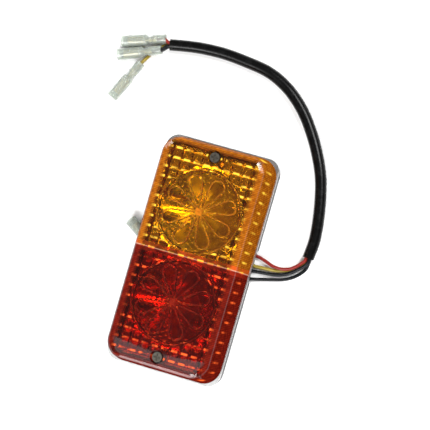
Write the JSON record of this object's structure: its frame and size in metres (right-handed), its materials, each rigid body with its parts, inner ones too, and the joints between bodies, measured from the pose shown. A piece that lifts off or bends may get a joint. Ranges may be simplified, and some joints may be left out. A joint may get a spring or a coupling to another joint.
{
  "type": "trailer tail light",
  "caption": "Rectangular trailer rear lamp with an amber and a red lens on a flat back plate, bayonet bulbs inside and a sleeved wiring tail with bullet connectors.",
  "frame": {"origin": "centre of the lamp's mounting face, on the surface it is fastened to", "axes": "+Z out of the lens, +Y along the lamp to its amber end, +X to the side where the sleeved cable leaves"},
  "size_m": [0.1556, 0.2033, 0.038],
  "materials": {
    "base_plastic": "moulded black plastic",
    "foam_rubber": "closed-cell foam rubber",
    "brass": "turned brass",
    "zinc_steel": "bright zinc-plated sheet",
    "steel_hardware": "zinc-plated steel",
    "reflector_white": "bright reflector moulding",
    "fibre": "insulating fibre",
    "spring_steel": "spring wire",
    "amber_plastic": "clear amber moulding with prisms inside",
    "red_plastic": "clear red moulding with prisms inside",
    "bulb_glass": "clear glass",
    "bulb_metal": "plated bulb cap",
    "filament": "glass stem with wire posts and coil",
    "wire_red": "PVC insulation",
    "wire_yellow": "PVC insulation",
    "wire_black": "PVC insulation",
    "sleeve_black": "semi-gloss PVC sleeve",
    "connector_clear": "milky clear soft plastic"
  },
  "bodies": {
    "lamp": {"base_housing": "base_plastic", "mounting_gasket": "foam_rubber", "mounting_inserts": "brass", "lamp_plate": "zinc_steel", "plate_screws": "steel_hardware", "lens_posts": "steel_hardware", "lens_seal": "foam_rubber", "reflector": "reflector_white", "chamber_divider": "reflector_white", "wire_grommet": "foam_rubber", "earth_tag": "brass", "earth_rivet": "steel_hardware", "amber_socket": "zinc_steel", "red_socket": "zinc_steel", "socket_rivets": "steel_hardware", "amber_insulator": "fibre", "red_insulator": "fibre", "amber_contact_spring": "spring_steel", "red_contact_spring": "spring_steel", "amber_contact_tag": "brass", "red_contact_tag": "brass", "amber_lead": "wire_yellow", "red_lead": "wire_red", "earth_lead": "wire_black", "wire_red": "wire_red", "wire_yellow": "wire_yellow", "wire_black": "wire_black", "wire_black_second": "wire_black", "cable_sleeve": "sleeve_black", "tail_red": "wire_red", "tail_black": "wire_black", "tail_black_second": "wire_black", "tail_yellow": "wire_yellow", "side_lead": "wire_black", "connector_red": "connector_clear", "connector_black": "connector_clear", "connector_yellow": "connector_clear", "connector_side": "connector_clear", "terminal_red": "brass", "terminal_black": "brass", "terminal_yellow": "brass", "terminal_side": "brass"},
    "lens": {"amber_lens": "amber_plastic", "red_lens": "red_plastic", "screw_washers": "foam_rubber"},
    "lens_screw_amber": {"lens_screw_amber": "steel_hardware"},
    "lens_screw_red": {"lens_screw_red": "steel_hardware"},
    "amber_bulb": {"amber_bulb_cap": "bulb_metal", "amber_bulb_glass": "bulb_glass", "amber_bulb_filament": "filament"},
    "red_bulb": {"red_bulb_cap": "bulb_metal", "red_bulb_glass": "bulb_glass", "red_bulb_filament": "filament"},
    "amber_contact": {"amber_contact": "brass"},
    "red_contact": {"red_contact": "brass"}
  },
  "joints": [
    {"name": "lens_lift", "type": "slide", "parent": "lamp", "child": "lens", "axis": [0, 0, 1], "range_m": [0, 0.06]},
    {"name": "lens_screw_amber_turn", "type": "hinge", "parent": "lens", "child": "lens_screw_amber", "pos_m": [0, 0.062, 0.0342], "axis": [0, 0, 1], "continuous": true},
    {"name": "lens_screw_red_turn", "type": "hinge", "parent": "lens", "child": "lens_screw_red", "pos_m": [0, -0.062, 0.0342], "axis": [0, 0, 1], "continuous": true},
    {"name": "amber_bulb_twist", "type": "hinge", "parent": "lamp", "child": "amber_bulb", "pos_m": [0, 0.028, 0.0235], "axis": [1, 0, 0], "range_deg": [0, 20]},
    {"name": "red_bulb_twist", "type": "hinge", "parent": "lamp", "child": "red_bulb", "pos_m": [0, -0.028, 0.0235], "axis": [1, 0, 0], "range_deg": [0, 20]},
    {"name": "amber_contact_slide", "type": "slide", "parent": "lamp", "child": "amber_contact", "axis": [1, 0, 0], "range_m": [-0.0012, 0], "stiffness_N_per_m": 800, "springref_m": 0.004, "deforming": ["amber_contact_spring"]},
    {"name": "red_contact_slide", "type": "slide", "parent": "lamp", "child": "red_contact", "axis": [1, 0, 0], "range_m": [-0.0012, 0], "stiffness_N_per_m": 800, "springref_m": 0.004, "deforming": ["red_contact_spring"]}
  ]
}
